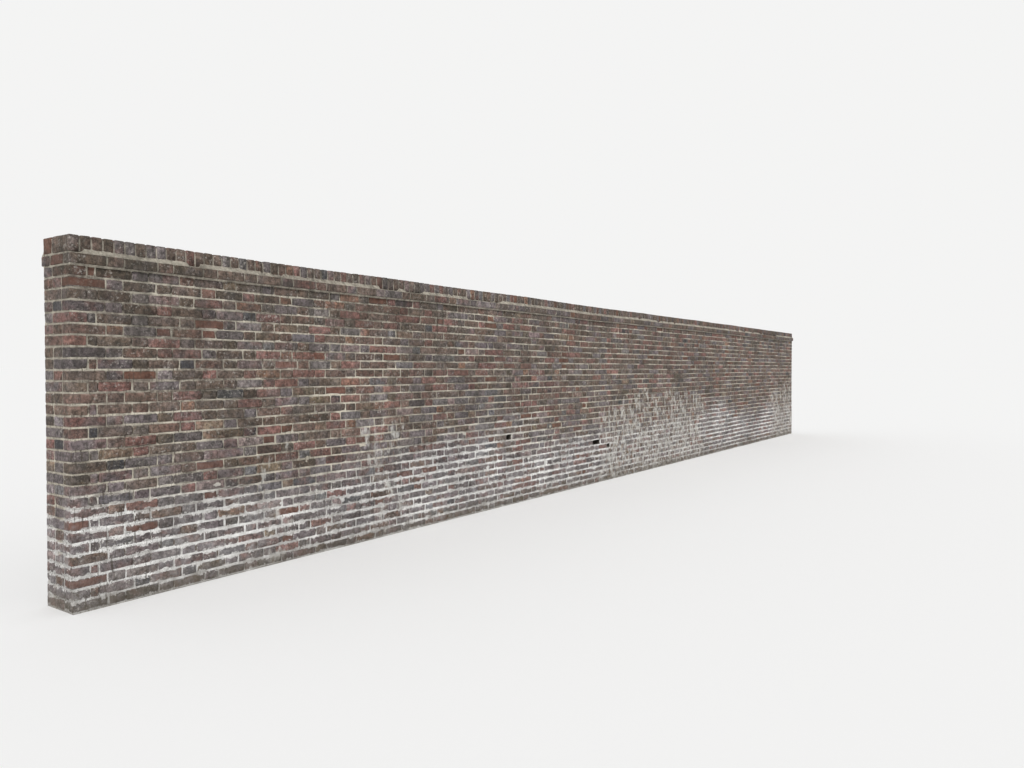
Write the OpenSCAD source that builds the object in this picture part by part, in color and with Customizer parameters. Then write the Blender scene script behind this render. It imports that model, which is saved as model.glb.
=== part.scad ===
// A run of old brick garden wall, one and a half bricks thick, laid in Flemish bond.
// Each bay is toothed into the next, course by course, as a bricklayer leaves a wall
// that will be carried on. An oversailing course and a coping of bricks on edge finish
// the top, with sloping mortar fillets that throw the rain off the ledges between them.
// X runs along the wall, -Y is the garden side, Z is up, and the origin is the middle
// of the foot. Sizes are in millimetres.

/* [Bricks] */
// Length of a brick, which shows on the face as a stretcher
brick_length = 228; // [210:1:240]
// Width of a brick, which shows on the face as a header
brick_width = 108; // [98:1:114]
// Height of a brick lying on its bed
brick_height = 65; // [50:1:75]
// Thickness of the mortar joints
joint = 11; // [8:1:14]

/* [Run] */
// Number of bays
bay_count = 6; // [2:1:8]
// Stretcher and header pairs in one course of a bay
bay_pairs = 8; // [5:1:12]
// Courses from the foot up to the oversailing course
wall_courses = 30; // [16:1:36]

/* [Top] */
// Projection of the oversailing course beyond each face
oversail = 30; // [15:1:45]
// Height of the mortar fillet against the coping
fillet_rise = 38; // [20:1:60]
// Bare width of ledge left in front of the mortar fillet
fillet_margin = 4; // [2:1:8]
// Radius worn on the upper edges of the coping
coping_wear = 9; // [4:1:15]

/* [Missing bricks] */
// Course of the fallen header in the second bay, counted from 0 at the foot
high_header_course = 10; // [1:1:14]
// Pair of the bond that the high header belongs to, counted from 0 at the left end
high_header_pair = 13; // [9:1:15]
// Course of the fallen stretcher in the third bay
stretcher_course = 7; // [1:1:14]
// Pair of the bond that the fallen stretcher belongs to
stretcher_pair = 19; // [17:1:22]
// Course of the broken header beside it
low_header_course = 6; // [1:1:14]
// Pair of the bond that the broken header belongs to
low_header_pair = 20; // [17:1:22]
// Depth to which the low header has broken away
low_header_depth = 70; // [30:1:150]

/* [Hidden] */
// One course with its bed joint
gauge = brick_height + joint;
// One stretcher and one header with their joints, along the wall
pair_length = brick_length + brick_width + 2 * joint;
// Headers centre on the stretchers below, so courses step by half the difference
tooth = (brick_length - brick_width) / 2;
bay_length = bay_pairs * pair_length;
run_length = bay_count * bay_length - joint;
left_end = -run_length / 2;
wall_thickness = brick_length + joint + brick_width;
wall_top = wall_courses * gauge;
oversail_top = wall_top + gauge;
coping_height = joint + brick_width;
// Round edges are smooth to this many sides
$fn = 48;

// Middle of the joint where bay number "bay" meets the next; 0 and bay_count are the run's ends
function bay_joint(bay) =
    bay == 0 ? left_end :
    bay == bay_count ? left_end + run_length :
    left_end + bay * bay_length - joint / 2;

// The same joint within one course: odd courses step along by a tooth, but not at the run's ends
function toothed_joint(bay, course) =
    bay_joint(bay) + (bay > 0 && bay < bay_count && course % 2 == 1 ? tooth : 0);

// Up one end of a bay, both corners of every course
function toothed_edge(bay) = [
    for (course = [0 : wall_courses - 1], corner = [0, 1])
        [toothed_joint(bay, course), (course + corner) * gauge]
];

function reversed(points) = [for (i = [len(points) - 1 : -1 : 0]) points[i]];

// Left edge of the header in a pair: even courses start with a stretcher at the left end
function header_left(course, pair) =
    left_end + pair * pair_length + (course % 2 == 0 ? brick_length + joint : tooth);

// Left edge of the stretcher in a pair
function stretcher_left(course, pair) =
    left_end + pair * pair_length + (course % 2 == 0 ? 0 : tooth + brick_width + joint);

// Stands a profile drawn across the wall, in Y and Z, along the run between two places in X
module along_wall(from, to) {
    translate([from, 0, 0])
        rotate([90, 0, 90])
            linear_extrude(to - from)
                children();
}

// The empty bed of a brick in the garden face, with the given width and depth
module brick_socket(left, course, width, depth) {
    clear = joint;
    translate([left, -wall_thickness / 2 - clear, course * gauge + joint])
        cube([width, depth + clear, brick_height]);
}

module missing_bricks() {
    brick_socket(
        header_left(high_header_course, high_header_pair),
        high_header_course, brick_width, brick_length
    );
    brick_socket(
        stretcher_left(stretcher_course, stretcher_pair),
        stretcher_course, brick_length, brick_width
    );
    brick_socket(
        header_left(low_header_course, low_header_pair),
        low_header_course, brick_width, low_header_depth
    );
}

// One bay of solid brickwork, toothed where it meets its neighbours
module wall_bay(bay) {
    color("rosybrown")
        difference() {
            translate([0, wall_thickness / 2, 0])
                rotate([90, 0, 0])
                    linear_extrude(wall_thickness)
                        polygon(concat(toothed_edge(bay - 1), reversed(toothed_edge(bay))));
            missing_bricks();
        }
}

// The course that projects on both faces to throw the rain clear
module oversailing_course(bay) {
    width = wall_thickness + 2 * oversail;
    color("indianred")
        along_wall(bay_joint(bay - 1), bay_joint(bay))
            translate([-width / 2, wall_top])
                square([width, gauge]);
}

// Sloping mortar on each ledge, from the oversailing course up to the side of the coping
module mortar_fillets(bay) {
    foot = oversail - fillet_margin;
    color("gainsboro")
        along_wall(bay_joint(bay - 1), bay_joint(bay))
            for (side = [0, 1])
                mirror([side, 0])
                    translate([wall_thickness / 2, oversail_top])
                        polygon([[0, 0], [foot, 0], [0, fillet_rise]]);
}

// Bricks on edge across the wall, a whole one and a half in each row, with worn upper edges
module coping(bay) {
    inner_width = wall_thickness - 2 * coping_wear;
    color("brown")
        along_wall(bay_joint(bay - 1), bay_joint(bay))
            translate([0, oversail_top]) {
                translate([-wall_thickness / 2, 0])
                    square([wall_thickness, coping_height - coping_wear]);
                translate([-inner_width / 2, 0])
                    square([inner_width, coping_height]);
                for (side = [-1, 1])
                    translate([side * inner_width / 2, coping_height - coping_wear])
                        circle(coping_wear);
            }
}

for (bay = [1 : bay_count]) {
    wall_bay(bay);
    oversailing_course(bay);
    mortar_fillets(bay);
    coping(bay);
}
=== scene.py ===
"""A run of old brick garden wall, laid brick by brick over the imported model.

Metres. X runs along the wall, -Y is the garden side, Z is up.
"""

import math

import bpy
import numpy as np
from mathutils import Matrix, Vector


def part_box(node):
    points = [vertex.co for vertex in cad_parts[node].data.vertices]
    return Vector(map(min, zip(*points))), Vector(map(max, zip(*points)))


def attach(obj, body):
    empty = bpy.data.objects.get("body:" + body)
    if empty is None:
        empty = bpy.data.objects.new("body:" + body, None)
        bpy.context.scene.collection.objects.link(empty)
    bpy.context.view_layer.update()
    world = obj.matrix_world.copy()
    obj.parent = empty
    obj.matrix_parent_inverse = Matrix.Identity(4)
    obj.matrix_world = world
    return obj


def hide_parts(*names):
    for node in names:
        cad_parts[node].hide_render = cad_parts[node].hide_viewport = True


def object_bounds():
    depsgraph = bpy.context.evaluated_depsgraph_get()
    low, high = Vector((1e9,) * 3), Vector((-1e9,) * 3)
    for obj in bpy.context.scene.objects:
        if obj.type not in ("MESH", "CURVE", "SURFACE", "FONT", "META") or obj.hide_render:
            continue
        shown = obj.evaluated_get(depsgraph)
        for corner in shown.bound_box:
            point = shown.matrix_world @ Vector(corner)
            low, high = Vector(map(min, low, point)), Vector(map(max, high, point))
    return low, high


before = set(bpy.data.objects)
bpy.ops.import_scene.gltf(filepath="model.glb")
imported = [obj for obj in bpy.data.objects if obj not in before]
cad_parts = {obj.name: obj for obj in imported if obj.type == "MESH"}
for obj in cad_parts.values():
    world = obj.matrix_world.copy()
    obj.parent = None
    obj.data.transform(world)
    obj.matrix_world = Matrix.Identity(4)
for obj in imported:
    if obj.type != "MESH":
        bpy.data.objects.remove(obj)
CAD_BOX = [list(corner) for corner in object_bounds()]

# Sizes: the brick and the joint drive the bond, and the rest comes from the frame
BRICK_LENGTH = 0.228
BRICK_WIDTH = 0.108
BRICK_HEIGHT = 0.065
JOINT = 0.011
GAUGE = BRICK_HEIGHT + JOINT
PAIR = BRICK_LENGTH + BRICK_WIDTH + 2 * JOINT
TOOTH = (BRICK_LENGTH - BRICK_WIDTH) / 2
BAYS = sum(name.startswith("wall_bay_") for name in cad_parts)
LEFT = CAD_BOX[0][0]
RIGHT = CAD_BOX[1][0]
TOP = CAD_BOX[1][2]
BAY_LENGTH = (RIGHT - LEFT + JOINT) / BAYS
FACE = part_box("wall_bay_1")[1][1]
WALL_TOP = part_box("wall_bay_1")[1][2]
OVERSAIL_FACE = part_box("oversailing_course_1")[1][1]
OVERSAIL_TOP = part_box("oversailing_course_1")[1][2]
FILLET_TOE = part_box("mortar_fillets_1")[1][1]
FILLET_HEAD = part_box("mortar_fillets_1")[1][2]
COURSES = round(WALL_TOP / GAUGE)
GARDEN = -1
BACK = 1

# How deep things go behind the face they are seen on
BRICK_BACK = 0.022
CORE_DEPTH = 0.020

# How far apart two places may be and still count as one
HAIR = 1e-6

# Fallen bricks of the garden face: course, pair of the bond, width that showed, depth of the hole
FALLEN = (
    (10, 13, BRICK_WIDTH, BRICK_LENGTH),
    (7, 19, BRICK_LENGTH, BRICK_WIDTH),
    (6, 20, BRICK_WIDTH, 0.070),
)

# The photograph's camera
PHOTO_WIDTH = 1024
PHOTO_HEIGHT = 768
FOCAL_PIXELS = 769
VANISHING_X = 1046
HORIZON_Y = 369
EYE_HEIGHT = 1.6
EYE_DISTANCE = 5.174
EYE_TO_LEFT_END = 2.45
SENSOR_WIDTH_MM = 36
HEADING = math.atan((VANISHING_X - PHOTO_WIDTH / 2) / FOCAL_PIXELS)

FLOOR_SIZE = 4000
SEED = 1798
# The bays at the run's ends, and which way each end faces
ENDS = {1: -1, BAYS: 1}

def wall_place(pixel_x, pixel_y):
    """Where a pixel of the photograph falls on the garden face, as x and z."""
    across = (pixel_x - PHOTO_WIDTH / 2) / FOCAL_PIXELS
    along = EYE_DISTANCE * (math.cos(HEADING) + across * math.sin(HEADING))
    along /= math.sin(HEADING) - across * math.cos(HEADING)
    depth = along * math.cos(HEADING) + EYE_DISTANCE * math.sin(HEADING)
    return LEFT - EYE_TO_LEFT_END + along, EYE_HEIGHT - (pixel_y - HORIZON_Y) * depth / FOCAL_PIXELS


def make_camera():
    data = bpy.data.cameras.new("camera")
    camera = bpy.data.objects.new("camera", data)
    bpy.context.collection.objects.link(camera)
    data.sensor_width = SENSOR_WIDTH_MM
    data.lens = SENSOR_WIDTH_MM * FOCAL_PIXELS / PHOTO_WIDTH
    data.clip_end = FLOOR_SIZE
    camera.location = (LEFT - EYE_TO_LEFT_END, -FACE - EYE_DISTANCE, EYE_HEIGHT)
    pitch = math.atan((PHOTO_HEIGHT / 2 - HORIZON_Y) / FOCAL_PIXELS)
    camera.rotation_euler = (math.pi / 2 - pitch, 0, HEADING - math.pi / 2)
    bpy.context.scene.camera = camera


make_camera()


# Noise

def lattice(ix, iy, iz, seed):
    """A number from -1 to 1 for each point of a whole-number lattice."""
    mask = 0xFFFFFFFF
    mixed = (ix * 374761393 + iy * 668265263 + iz * 1440662683 + seed * 974634777) & mask
    mixed = ((mixed ^ (mixed >> 13)) * 1274126177) & mask
    mixed = ((mixed ^ (mixed >> 16)) * 668265263) & mask
    return (mixed ^ (mixed >> 15)) / mask * 2 - 1


def noise(x, y, z, seed):
    """Smooth noise from -1 to 1; a lattice cell is one unit."""
    x, y, z = np.broadcast_arrays(x, y, z)
    cell = [np.floor(v).astype(np.int64) for v in (x, y, z)]
    part = [v - c for v, c in zip((x, y, z), cell)]
    part = [f * f * (3 - 2 * f) for f in part]
    total = 0
    for dx in (0, 1):
        for dy in (0, 1):
            for dz in (0, 1):
                weight = 1
                for f, d in zip(part, (dx, dy, dz)):
                    weight = weight * (f if d else 1 - f)
                total = total + weight * lattice(cell[0] + dx, cell[1] + dy, cell[2] + dz, seed)
    return total


def stack(*parts):
    return np.stack(parts, axis=-1)


def smooth(value, low, high):
    f = np.clip((value - low) / (high - low), 0, 1)
    return f * f * (3 - 2 * f)


def lime_zone(x, y, z):
    """1 low on the wall, where lime lies thick over the joints, and 0 where they are thin and washed."""
    side = 12 * y
    border = z + 0.3 * noise(x / 1.1, side, z / 0.6, 63) + 0.25 * noise(x / 3.5, side, 0, 108)
    thin = smooth(noise(x / 1.7, side, z / 0.8, 62), 0.1, 0.8)
    return (1 - smooth(border, 0.3, 1.1)) * (1 - 0.4 * thin)


def bleached_zone(x, y, z):
    """1 where creepers have bleached the garden face, with ragged edges, and 0 elsewhere."""
    place = x + 0.25 * noise(x / 0.5, 0, z / 0.3, 63)
    inside = 0
    for first, last, strength in MARKED:
        start, end = wall_place(first, MARKED_ROW)[0], wall_place(last, MARKED_ROW)[0]
        soft = min(0.5, 0.6 * (end - start))
        stretch = smooth(place, start - soft, start + soft) * (1 - smooth(place, end - soft, end + soft))
        inside = np.maximum(inside, strength * stretch)
    height = z + 0.3 * noise(x / 0.6, 0, z / 0.5, 64)
    return inside * (1 - smooth(height, 0.95, 1.65)) * (y < 0)


def settle(points):
    """Moves points as the old wall has settled: it sags, its courses waver and its faces lean."""
    x, y, z = points[..., 0], points[..., 1], points[..., 2]
    held = smooth(z, 0, 0.5)
    lift = 0.010 * noise(x / 3.7, 0, 0, 10) + 0.007 * noise(x / 1.7, 0, z / 1.3, 11)
    lift = lift + 0.002 * noise(x / 0.6, 0, z / 0.9, 12) + 0.0025 * noise(x / 0.8, 0, z / 0.1, 14)
    lean = 0.007 * noise(x / 3.1, 0, z / 1.5, 13) + 0.006 * noise(x / 4.3, 0, z / 2.1, 16)
    return stack(x, y + lean * held, z + lift * held)


# Shells: meshes gathered from arrays

# How Blender stores what a point knows, by how many numbers that is
ATTRIBUTE_KINDS = {1: ("FLOAT", "value"), 3: ("FLOAT_VECTOR", "vector"), 4: ("FLOAT_COLOR", "color")}


def grid_quads(index):
    """The quads between the points of a sheet, from a two-way table of their numbers."""
    quads = stack(index[:-1, :-1], index[1:, :-1], index[1:, 1:], index[:-1, 1:])
    return quads.reshape(-1, 4)


class Shell:
    """Gathers points, faces and what each point knows, then makes one object of them."""

    def __init__(self):
        self.points = []
        self.faces = []
        self.known = {}
        self.count = 0

    def add(self, points, faces, **known):
        """points is (n, 3); faces is a list of (m, k) index arrays; known holds (n,) or (n, c) arrays."""
        self.points.append(points.reshape(-1, 3))
        n = len(self.points[-1])
        for face in faces:
            self.faces.append(face + self.count)
        for name, values in known.items():
            self.known.setdefault(name, []).append(values.reshape(n, -1))
        self.count += n

    def add_many(self, points, template, flip=False, **known):
        """points is (bricks, n, 3), and template lists the faces of one brick as (m, k) arrays."""
        bricks, n = points.shape[:2]
        start = n * np.arange(bricks)[:, None, None]
        faces = [(start + face).reshape(-1, face.shape[1]) for face in template]
        if flip:
            faces = [face[:, ::-1] for face in faces]
        known = {name: values.reshape(bricks * n, -1) for name, values in known.items()}
        self.add(points, faces, **known)

    def add_bricks(self, points, template, rim, tint, fate, flip=False):
        """Like add_many, with one tint and one fate for all the points of a brick."""
        count = points.shape[1]
        tint, fate = (np.repeat(values[:, None], count, axis=1) for values in (tint, fate))
        self.add_many(points, template, flip, rim=rim, tint=tint, fate=fate)

    def patch(self, points, flip=False, **known):
        """A sheet from an (a, b, 3) array of points; its normal is d/da x d/db."""
        a, b = points.shape[:2]
        quads = grid_quads(np.arange(a * b).reshape(a, b))
        self.add(points, [quads[:, ::-1] if flip else quads], **known)

    def make(self, name, material, nodes):
        mesh = bpy.data.meshes.new(name)
        points = np.concatenate(self.points)
        mesh.vertices.add(len(points))
        mesh.vertices.foreach_set("co", points.ravel())
        corners = np.concatenate([face.ravel() for face in self.faces])
        sizes = np.concatenate([np.full(len(face), face.shape[1]) for face in self.faces])
        mesh.loops.add(len(corners))
        mesh.loops.foreach_set("vertex_index", corners)
        mesh.polygons.add(len(sizes))
        mesh.polygons.foreach_set("loop_start", np.cumsum(sizes) - sizes)
        # Only the short sides of the face bricks have more than four corners, and those stay flat
        mesh.polygons.foreach_set("use_smooth", sizes == 4)
        known = {key: np.concatenate(values) for key, values in self.known.items()}
        known["lime"] = lime_zone(*points.T)[:, None]
        known["bleached"] = bleached_zone(*points.T)[:, None]
        for key, values in known.items():
            kind, field = ATTRIBUTE_KINDS[values.shape[1]]
            mesh.attributes.new(key, kind, "POINT").data.foreach_set(field, values.ravel())
        mesh.update(calc_edges=True)
        mesh.validate()
        mesh.materials.append(material)
        piece = bpy.data.objects.new(name, mesh)
        bpy.context.collection.objects.link(piece)
        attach(piece, "root")
        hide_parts(*nodes)
        return piece


# Clay

def linear(*screen):
    """A screen colour from 0 to 255 as linear light; none of its parts is near black."""
    return [((part / 255 + 0.055) / 1.055) ** 2.4 for part in screen]


# Colours as they look on the wall in plain light, and how common each is low down and high up
CLAY = {
    "mauve": (linear(108, 100, 100), 40, 12),
    "plum": (linear(92, 84, 84), 20, 10),
    "pink": (linear(127, 112, 109), 9, 2),
    "grey": (linear(101, 98, 99), 8, 2),
    "red": (linear(118, 87, 80), 9, 15),
    "orange": (linear(127, 97, 81), 1, 2),
    "brown": (linear(99, 84, 75), 11, 38),
    "umber": (linear(86, 74, 64), 1, 16),
    "buff": (linear(116, 102, 86), 1, 2),
    "vitrified": (linear(64, 64, 67), 1, 1),
}
CLAY_NAMES = list(CLAY)
CLAY_TINTS, LOW_ODDS, HIGH_ODDS = (np.array(column, float) for column in zip(*CLAY.values()))
LOW_ODDS /= LOW_ODDS.sum()
HIGH_ODDS /= HIGH_ODDS.sum()

# Bricks that stand out in the photograph, by the pixel at their middle
NOTED = {
    "vitrified": ((311, 480), (344, 500), (493, 445), (521, 455)),
    "plum": ((360, 497),),
    "pink": ((331, 503),),
    "red": ((286, 456), (312, 447), (518, 462), (481, 460), (515, 470), (637, 446)),
    "buff": ((268, 468), (292, 480)),
    "orange": ((503, 444),),
    "grey": ((540, 445), (470, 463)),
}

# Stretches marked by creepers that have been pulled off: first and last pixel column, and how strongly
MARKED = ((246, 286, 0.92), (366, 404, 0.88), (594, 708, 1.0), (768, 800, 1.0))
MARKED_ROW = 450

# Lumps of lime on the face, by the pixel at their middle, with their width and height
DABS = (
    ((306, 459), 0.055, 0.075),
    ((546, 462), 0.095, 0.1),
    ((315.5, 491), 0.045, 0.05),
    ((355, 478), 0.08, 0.045),
    ((280, 503), 0.03, 0.03),
    ((642, 434), 0.09, 0.05),
)


def varied(picks, *shades):
    """The colours picked, each made lighter or darker, with the fourth number that Blender stores."""
    tint = CLAY_TINTS[picks]
    for shade in shades:
        tint = tint * shade
    return np.concatenate([np.clip(tint, 0.01, 0.9), np.ones((len(tint), 1))], axis=1)


def clay_of(bricks, draw):
    """A colour for each brick: a browner mix higher up, then the bricks noted in the photograph."""
    x = (bricks["x0"] + bricks["x1"]) / 2
    z = (bricks["z0"] + bricks["z1"]) / 2
    high = smooth(z + 0.2 * noise(x / 0.9, 0, z / 0.5, 31), 0.6, 1.2)[:, None]
    odds = LOW_ODDS * (1 - high) + HIGH_ODDS * high
    picks = (draw.random((len(x), 1)) > np.cumsum(odds, axis=1)).sum(axis=1)
    picks = np.minimum(picks, len(CLAY) - 1)
    for name, pixels in NOTED.items():
        for pixel in pixels:
            noted_x, noted_z = wall_place(*pixel)
            far = (x - noted_x) ** 2 + (z - noted_z) ** 2 + (bricks["side"] == BACK) * 100
            picks[np.argmin(far)] = CLAY_NAMES.index(name)
    return varied(picks, draw.normal(1, 0.17, (len(x), 1)), draw.normal(1, 0.02, (len(x), 3)))


def odd_clay(count, draw):
    """Tints and fates for bricks at the top, which aren't part of the bond's table."""
    picks = draw.choice(len(CLAY), count, p=HIGH_ODDS)
    return varied(picks, draw.normal(1, 0.1, (count, 1))), draw.random((count, 3))


# The bond

def course_spans(course):
    """Left and right edge of every brick that shows in a course, from end to end of the run."""
    pairs = round((RIGHT - LEFT + JOINT) / PAIR)
    start = LEFT + PAIR * np.arange(pairs)
    if course % 2 == 0:
        stretchers = start
        headers = start + BRICK_LENGTH + JOINT
        ends = []
    else:
        stretchers = start[:-1] + TOOTH + BRICK_WIDTH + JOINT
        headers = start[1:] + TOOTH
        closer = LEFT + BRICK_WIDTH + JOINT
        three_quarter = start[-1] + TOOTH + BRICK_WIDTH + JOINT
        ends = [(LEFT, LEFT + BRICK_WIDTH), (closer, LEFT + TOOTH + BRICK_WIDTH), (three_quarter, RIGHT)]
    spans = [(x, x + BRICK_LENGTH) for x in stretchers] + [(x, x + BRICK_WIDTH) for x in headers] + ends
    return sorted(spans)


def bay_joint(bay, course):
    """Where a bay meets the one after it, within a course."""
    if bay in (0, BAYS):
        return LEFT if bay == 0 else RIGHT
    return LEFT + bay * BAY_LENGTH - JOINT / 2 + (TOOTH if course % 2 else 0)


def fallen_spans():
    """The holes left by the fallen bricks: x0, x1, z0, z1 and depth."""
    holes = []
    for course, pair, width, depth in FALLEN:
        first = LEFT + pair * PAIR
        z0 = course * GAUGE + JOINT
        for x0, x1 in course_spans(course):
            if abs(x1 - x0 - width) < HAIR and first - HAIR <= x0 < first + PAIR:
                holes.append((x0, x1, z0, z0 + BRICK_HEIGHT, depth))
    return holes


HOLES = fallen_spans()


def near_hole(x, z, beside=0.0, above=0.0):
    """Whether a place on the garden face is in a hole, or so near beside, above or below one."""
    return any(
        x0 - beside < x < x1 + beside and z0 - above < z < z1 + above
        for x0, x1, z0, z1, _ in HOLES
    )


def joint_number(x, course, side, seed):
    """A number from -1 to 1 that belongs to the joint between two bricks of a course."""
    return lattice(np.round(x * 1000).astype(np.int64), np.asarray(course, int), side, seed)


def perp_shift(x, course, side):
    """How far such a joint stands out of its place."""
    return 0.0042 * joint_number(x, course, side, 15)


def perp_squeeze(x, course, side):
    """How far the bricks on both sides of it reach into it."""
    return 0.0012 + 0.0016 * joint_number(x, course, side, 17)


def list_bricks(draw):
    """Every brick of both faces as a table of arrays, with the end of the wall that a brick stands at."""
    rows = []
    for side in (GARDEN, BACK):
        for course in range(COURSES):
            z0 = course * GAUGE + JOINT
            joints = [bay_joint(bay, course) for bay in range(1, BAYS)]
            spans = course_spans(course)
            for n, (x0, x1) in enumerate(spans):
                middle = (x0 + x1) / 2
                if side == GARDEN and near_hole(middle, z0 + BRICK_HEIGHT / 2):
                    continue
                bay = 1 + sum(joint < middle for joint in joints)
                end = -1 if n == 0 else 1 if n == len(spans) - 1 else 0
                rows.append((x0, x1, z0, z0 + BRICK_HEIGHT, side, course, bay, end))
    bricks = dict(zip(("x0", "x1", "z0", "z1", "side", "course", "bay", "end"), np.array(rows).T))
    bricks["wide"] = bricks["x1"] - bricks["x0"]
    place = bricks["course"], bricks["side"].astype(int)
    for edge, outward in (("x0", -1), ("x1", 1)):
        joint = bricks[edge] + outward * JOINT / 2
        inside = (joint > LEFT) & (joint < RIGHT)
        move = perp_shift(joint, *place) + outward * perp_squeeze(joint, *place)
        bricks[edge] = bricks[edge] + np.where(inside, move, 0)
    bricks["tint"] = clay_of(bricks, draw)
    bricks["fate"] = draw.random((len(rows), 3))
    return bricks


# Brick shapes

ARRIS = 0.006
# Fate above which frost has blown the face off a brick
BLOWN = 0.965
# Spreads of how far out of place a laid brick's sides and beds are, and how far it stands out or turns
SIDE_SLIP = 0.0012
BED_SLIP = 0.0009
DEPTH_SLIP = 0.0013
SIDEWAYS_TURN = 0.0016
UPWARD_TURN = 0.0014
# How far the sides of a brick are drawn in at its back, inside the mortar
BACK_INSET = 0.0015


def lines(size, cells):
    """Places of the grid lines along a brick: one close to each end and the rest even between them.

    With an even number of cells one line is the middle, so the distance to the nearest end stays exact.
    """
    size = np.asarray(size, float)
    inner = ARRIS + (size[..., None] - 2 * ARRIS) * np.arange(cells - 1) / (cells - 2)
    zero = np.zeros(size.shape + (1,))
    return np.concatenate([zero, inner, zero + size[..., None]], axis=-1)


def face_template(across, up):
    """Faces of one brick seen from the front: its face, four sides running back, and the back."""
    grid = np.arange((across + 1) * (up + 1)).reshape(across + 1, up + 1)
    low_left, low_right, high_right, high_left = grid[-1, -1] + 1 + np.arange(4)
    front = grid_quads(grid)
    bottom = np.array([[*grid[::-1, 0], low_left, low_right]])
    right = np.array([[*grid[-1, ::-1], low_right, high_right]])
    top = np.array([[*grid[:, -1], high_right, high_left]])
    left = np.array([[*grid[0, :], high_left, low_left]])
    back = np.array([[low_right, low_left, high_left, high_right]])
    return [front, bottom, right, top, left, back]


def worn_depth(x, z, seed, rim, corner):
    """How far the face of a brick lies back: wavy all over, and worn along its arrises."""
    wave = noise(x / 0.035, seed, z / 0.035, 21)
    broad = noise(x / 0.09, seed, z / 0.06, 22)
    depth = 0.0012 * wave + 0.0016 * broad
    worn = 0.0042 + 0.0012 * wave + 0.0014 * broad
    return depth + np.where(rim, worn, 0) + np.where(corner, 0.0038, 0)


def chip_depth(u, v, wide, high, draw):
    """How far the face lies back where a corner has been knocked off, which one brick in five has."""
    each = wide.shape
    chip_u = np.where(draw.random(each) < 0.5, 0, wide)
    chip_v = np.where(draw.random(each) < 0.5, 0, high)
    reach = draw.uniform(0.018, 0.05, each)
    deep = (draw.random(each) < 0.22) * draw.uniform(0.004, 0.013, each)
    return deep * smooth(reach - np.hypot(u - chip_u, v - chip_v), 0, reach)


def crater_depth(x, z, seed):
    """The rough hollow left where frost has blown the face off."""
    lobes = noise(x / 0.055, seed, z / 0.045, 23) + 0.35 * noise(x / 0.018, seed, z / 0.014, 26)
    return smooth(lobes, -0.5, 0.05) * (0.008 + 0.003 * noise(x / 0.02, seed, z / 0.015, 27))


def on_face(x, depth, z, side):
    """Points at some depth behind a face of the wall."""
    return stack(x, side * (FACE - depth), z)


def lay_faces(shell, bricks, side, across, up, draw):
    """Bricks that show one face: a worn, wavy face on short sides that run back into the mortar."""
    n = len(bricks["wide"])
    if n == 0:
        return
    each = (n, 1, 1)
    slips = dict(x0=SIDE_SLIP, x1=SIDE_SLIP, z0=BED_SLIP, z1=BED_SLIP)
    x0, x1, z0, z1 = [
        bricks[edge].reshape(each) + draw.normal(0, slip, each) for edge, slip in slips.items()
    ]
    wide, high = x1 - x0, z1 - z0
    # Places on the face from its lower left corner, on grid lines numbered i and j
    u = lines(wide.ravel(), across)[:, :, None]
    v = lines(high.ravel(), up)[:, None, :]
    i = np.arange(across + 1)[:, None]
    j = np.arange(up + 1)
    at_side = (i == 0) | (i == across)
    at_bed = (j == 0) | (j == up)
    corner = at_side & at_bed
    seed = bricks["fate"][:, 0].reshape(each) * 40
    x, z = x0 + u, z0 + v
    depth = worn_depth(x, z, seed, at_side | at_bed, corner)
    depth = depth + draw.normal(0, DEPTH_SLIP, each)
    depth = depth + draw.normal(0, SIDEWAYS_TURN, each) * (u / wide - 0.5)
    depth = depth + draw.normal(0, UPWARD_TURN, each) * (v / high - 0.5)
    depth = depth + chip_depth(u, v, wide, high, draw)
    blown = bricks["fate"][:, 1].reshape(each) > BLOWN
    depth = depth + np.where(blown, crater_depth(x, z, seed), 0)
    # Ragged sides and beds, and rounded corners
    push = 0.0013 * noise(x / 0.05, seed + 9, z / 0.05, 24)
    x = x + np.where(at_side, push, 0) + np.where(corner, np.where(i == 0, 0.0018, -0.0018), 0)
    z = z + np.where(at_bed, push, 0) + np.where(corner, np.where(j == 0, 0.0018, -0.0018), 0)
    front = on_face(x, depth, z, side).reshape(n, -1, 3)
    front_rim = stack(*np.broadcast_arrays(np.minimum(u, wide - u), 0.0, np.minimum(v, high - v)))
    left, right, bottom, top = x0 + BACK_INSET, x1 - BACK_INSET, z0 + BACK_INSET, z1 - BACK_INSET
    back_x = np.hstack([left, right, right, left])
    back_z = np.hstack([bottom, bottom, top, top])
    back = on_face(back_x, BRICK_BACK + 0 * back_x, back_z, side).reshape(n, -1, 3)
    back_rim = np.tile([0, BRICK_BACK, 0], (n, 4, 1))
    shell.add_bricks(
        settle(np.hstack([front, back])), face_template(across, up),
        np.hstack([front_rim.reshape(n, -1, 3), back_rim]),
        bricks["tint"], bricks["fate"], flip=side == BACK,
    )


def block_template(cells):
    """The lattice points on the surface of a block, and its faces as quads."""
    shape = [count + 1 for count in cells]
    index = np.arange(math.prod(shape)).reshape(shape)
    quads = np.concatenate([
        grid_quads(index[0])[:, ::-1], grid_quads(index[-1]),
        grid_quads(index[:, 0]), grid_quads(index[:, -1])[:, ::-1],
        grid_quads(index[:, :, 0])[:, ::-1], grid_quads(index[:, :, -1]),
    ])
    surface, quads = np.unique(quads, return_inverse=True)
    return stack(*np.unravel_index(surface, shape)), [quads.reshape(-1, 4)]


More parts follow.
